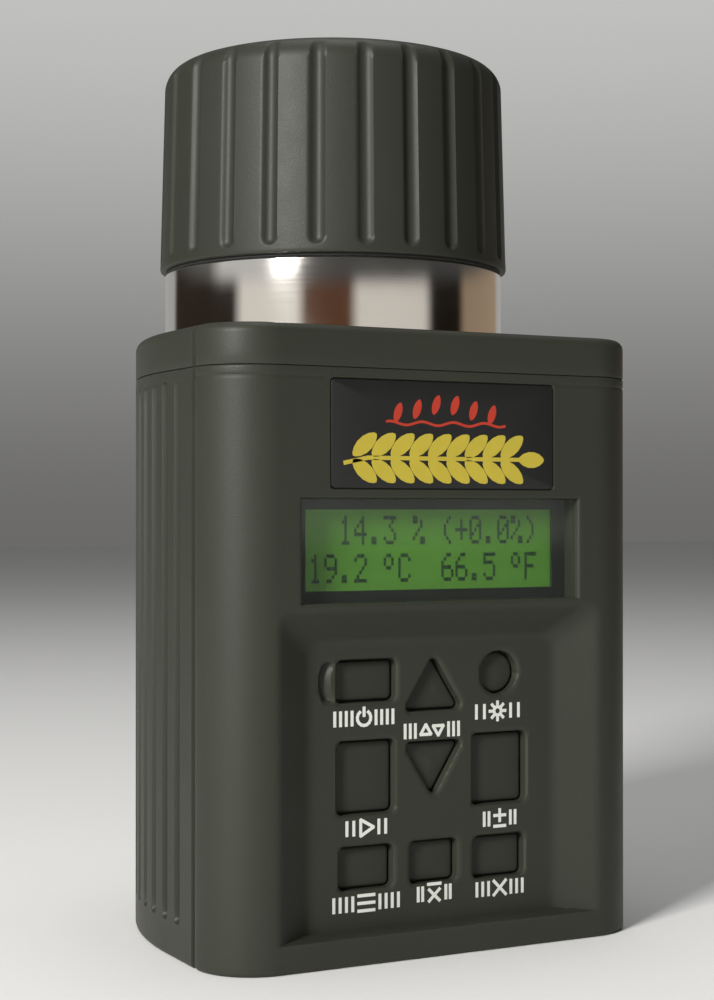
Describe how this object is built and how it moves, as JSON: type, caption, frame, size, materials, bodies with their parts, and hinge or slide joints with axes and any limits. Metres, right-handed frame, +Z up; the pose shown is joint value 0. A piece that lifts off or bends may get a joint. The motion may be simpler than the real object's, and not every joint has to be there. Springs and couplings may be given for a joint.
{
  "type": "grain moisture meter",
  "caption": "Hand-held instrument case with ribbed sides, backlit display and recessed keypad, and a fluted screw cap on a plated grain test cell.",
  "frame": {"origin": "on the base, under the axis of the test cell", "axes": "+Z up along the test cell, -Y towards the display and keys, +X to the right of a person who faces the display"},
  "size_m": [0.095, 0.0895, 0.1803],
  "materials": {
    "case": "satin",
    "keys": "satin",
    "plating": "polished",
    "steel": "brushed",
    "brass": "machined",
    "rubber": "matte",
    "natural_plastic": "satin",
    "black_plastic": "satin",
    "red_plastic": "gloss",
    "label": "gloss",
    "window": "clear",
    "bezel": "satin",
    "display": "backlit",
    "board": "gloss",
    "battery_skin": "satin"
  },
  "bodies": {
    "case": {"front_shell": "case", "rear_shell": "case", "top_cover": "case", "base_plate": "case", "cell_carrier": "black_plastic", "cell_tube": "plating", "cell_gasket": "rubber", "cell_floor": "natural_plastic", "floor_retainer": "steel", "electrode": "plating", "electrode_nut": "steel", "temperature_sensor": "steel", "label_plate": "label", "lcd_window": "window", "lcd_bezel": "bezel", "lcd_glass": "display", "lcd_backlight": "display", "lcd_board": "board", "main_board": "board", "main_chip": "black_plastic", "buzzer": "black_plastic", "ribbon_cable": "black_plastic", "dome_switches": "steel", "signal_lead": "red_plastic", "battery_tray": "black_plastic", "battery": "battery_skin", "battery_clip": "black_plastic", "battery_lead_plus": "red_plastic", "battery_lead_minus": "black_plastic", "cover_screws": "steel", "base_screws": "steel", "board_screws": "steel", "lcd_screws": "steel"},
    "washer": {"rim_washer": "rubber"},
    "bush": {"guide_bush": "natural_plastic", "plate_spring": "steel"},
    "cap": {"cap_shell": "case", "cap_thread_insert": "brass", "bush_retainer": "steel", "retainer_screws": "steel"},
    "plunger": {"pressure_plate": "steel", "plunger_stem": "steel", "indicator_button": "red_plastic"},
    "door": {"battery_door": "case", "door_pad": "rubber"},
    "power": {"power_key": "keys"},
    "light": {"light_key": "keys"},
    "select_up": {"select_up_key": "keys"},
    "select_down": {"select_down_key": "keys"},
    "test": {"test_key": "keys"},
    "cal": {"cal_key": "keys"},
    "memory": {"memory_key": "keys"},
    "average": {"average_key": "keys"},
    "clear": {"clear_key": "keys"}
  },
  "joints": [
    {"name": "cap_lift", "type": "slide", "parent": "case", "child": "washer", "axis": [0, 0, 1], "range_m": [0, 0.06]},
    {"name": "cap_rise", "type": "slide", "parent": "washer", "child": "bush", "axis": [0, 0, 1], "range_m": [0, 0.0121]},
    {"name": "cap_turn", "type": "hinge", "parent": "bush", "child": "cap", "pos_m": [0, 0, 0.15], "axis": [0, 0, 1], "range_deg": [0, 1080]},
    {"name": "plunger_slide", "type": "slide", "parent": "bush", "child": "plunger", "axis": [0, 0, 1], "range_m": [0, 0.004], "stiffness_N_per_m": 1200, "springref_m": -0.004, "deforming": ["plate_spring"]},
    {"name": "door_pull", "type": "slide", "parent": "case", "child": "door", "axis": [0, 1, 0], "range_m": [0, 0.025]},
    {"name": "power_key_press", "type": "slide", "parent": "case", "child": "power", "axis": [0, 1, 0], "range_m": [0, 0.0008], "stiffness_N_per_m": 1500, "springref_m": -0.0002},
    {"name": "light_key_press", "type": "slide", "parent": "case", "child": "light", "axis": [0, 1, 0], "range_m": [0, 0.0008], "stiffness_N_per_m": 1500, "springref_m": -0.0002},
    {"name": "select_up_key_press", "type": "slide", "parent": "case", "child": "select_up", "axis": [0, 1, 0], "range_m": [0, 0.0008], "stiffness_N_per_m": 1500, "springref_m": -0.0002},
    {"name": "select_down_key_press", "type": "slide", "parent": "case", "child": "select_down", "axis": [0, 1, 0], "range_m": [0, 0.0008], "stiffness_N_per_m": 1500, "springref_m": -0.0002},
    {"name": "test_key_press", "type": "slide", "parent": "case", "child": "test", "axis": [0, 1, 0], "range_m": [0, 0.0008], "stiffness_N_per_m": 1500, "springref_m": -0.0002},
    {"name": "cal_key_press", "type": "slide", "parent": "case", "child": "cal", "axis": [0, 1, 0], "range_m": [0, 0.0008], "stiffness_N_per_m": 1500, "springref_m": -0.0002},
    {"name": "memory_key_press", "type": "slide", "parent": "case", "child": "memory", "axis": [0, 1, 0], "range_m": [0, 0.0008], "stiffness_N_per_m": 1500, "springref_m": -0.0002},
    {"name": "average_key_press", "type": "slide", "parent": "case", "child": "average", "axis": [0, 1, 0], "range_m": [0, 0.0008], "stiffness_N_per_m": 1500, "springref_m": -0.0002},
    {"name": "clear_key_press", "type": "slide", "parent": "case", "child": "clear", "axis": [0, 1, 0], "range_m": [0, 0.0008], "stiffness_N_per_m": 1500, "springref_m": -0.0002}
  ],
  "couplings": [
    {"joint": "cap_rise", "follows": "cap_turn", "m_per_rad": 0.00063662}
  ]
}
